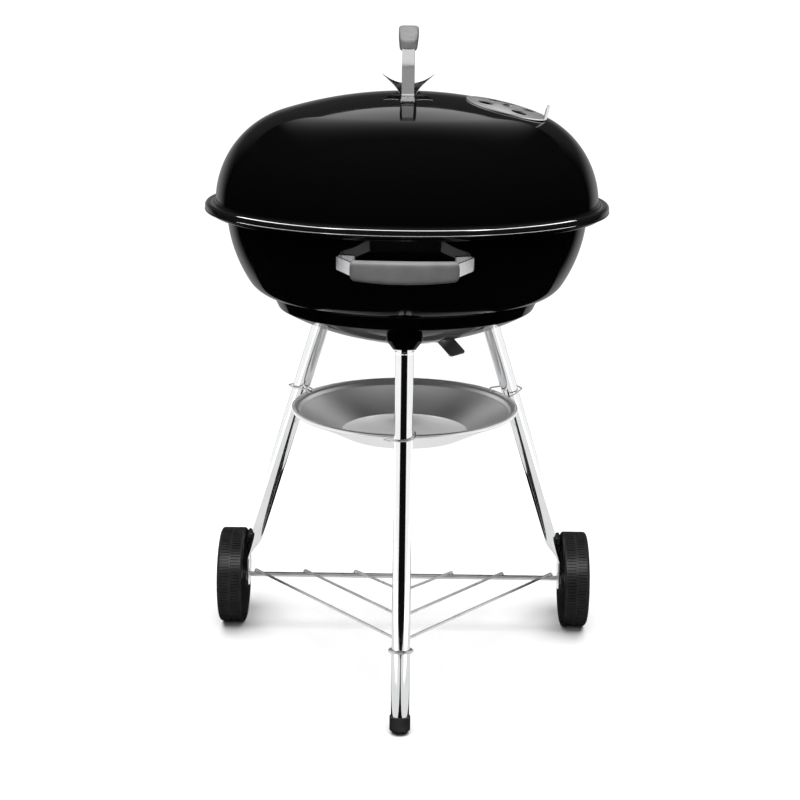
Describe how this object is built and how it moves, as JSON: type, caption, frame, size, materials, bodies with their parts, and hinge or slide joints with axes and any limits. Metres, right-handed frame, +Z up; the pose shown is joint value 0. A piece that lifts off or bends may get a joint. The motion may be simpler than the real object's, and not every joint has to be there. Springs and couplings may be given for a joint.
{
  "type": "kettle charcoal grill",
  "caption": "Round kettle charcoal grill with a domed lift-off lid, rotating dampers, splayed tube legs, wheels, ash pan and wire rack.",
  "frame": {"origin": "on the floor, at the middle of the grill's footprint box; the bowl's centre line is 21.75 mm behind it, on +Y", "axes": "+Z up; -Y is the front, where the front foot and the bowl handle are; +X is the grill's side with the lid damper; the axle lies along X"},
  "size_m": [0.6038, 0.6204, 0.952],
  "materials": {
    "black_enamel": "glossy black vitreous enamel on steel",
    "aluminium": "satin aluminium with faint spinning lines",
    "bright_steel": "bright rolled stainless sheet",
    "strap_steel": "satin nickel-plated steel band",
    "grip_plastic": "dark grey fine-textured glass-filled nylon",
    "zinc_steel": "dull zinc-plated steel wire and rod",
    "plated_wire": "bright plated wire",
    "chrome": "polished chromed tube",
    "black_plastic": "black moulded plastic, slightly satin"
  },
  "bodies": {
    "grill": {"bowl_shell": "black_enamel", "front_leg_socket": "black_enamel", "left_leg_socket": "black_enamel", "right_leg_socket": "black_enamel", "grate_brackets": "black_enamel", "ash_pan": "aluminium", "bowl_damper_rivet": "aluminium", "bowl_handle_strap": "strap_steel", "bowl_handle_grip": "grip_plastic", "bowl_handle_bolts": "zinc_steel", "axle": "zinc_steel", "axle_washers": "zinc_steel", "wire_rack": "zinc_steel", "front_pan_clip": "zinc_steel", "left_pan_clip": "zinc_steel", "right_pan_clip": "zinc_steel", "front_leg": "chrome", "left_rear_leg": "chrome", "right_rear_leg": "chrome", "front_foot_cap": "black_plastic", "left_hub_cap": "black_plastic", "right_hub_cap": "black_plastic"},
    "lid": {"lid_shell": "black_enamel", "lid_handle_strap": "strap_steel", "lid_handle_grip": "grip_plastic", "lid_handle_bolts": "zinc_steel", "lid_heat_shield": "bright_steel", "lid_damper_rivet": "aluminium"},
    "lid_damper": {"lid_damper": "aluminium"},
    "bowl_damper": {"bowl_damper": "aluminium"},
    "cooking_grate": {"cooking_grate": "plated_wire"},
    "charcoal_grate": {"charcoal_grate": "plated_wire"},
    "left_wheel": {"left_wheel": "black_plastic"},
    "right_wheel": {"right_wheel": "black_plastic"}
  },
  "joints": [
    {"name": "lid_lift", "type": "slide", "parent": "grill", "child": "lid", "axis": [0, 0, 1], "range_m": [0, 0.25]},
    {"name": "lid_damper_turn", "type": "hinge", "parent": "lid", "child": "lid_damper", "pos_m": [0.13695, -0.02275, 0.84446], "axis": [0.2283, -0.0742, 0.9708], "range_deg": [0, 45]},
    {"name": "bowl_damper_turn", "type": "hinge", "parent": "grill", "child": "bowl_damper", "pos_m": [0, 0.02175, 0.506], "axis": [0, 0, 1], "range_deg": [0, 45]},
    {"name": "cooking_grate_lift", "type": "slide", "parent": "grill", "child": "cooking_grate", "axis": [0, 0, 1], "range_m": [0, 0.04]},
    {"name": "charcoal_grate_lift", "type": "slide", "parent": "grill", "child": "charcoal_grate", "axis": [0, 0, 1], "range_m": [0, 0.06]},
    {"name": "left_wheel_spin", "type": "hinge", "parent": "grill", "child": "left_wheel", "pos_m": [-0.276, 0.16725, 0.0762], "axis": [1, 0, 0], "continuous": true},
    {"name": "right_wheel_spin", "type": "hinge", "parent": "grill", "child": "right_wheel", "pos_m": [0.276, 0.16725, 0.0762], "axis": [1, 0, 0], "continuous": true}
  ]
}
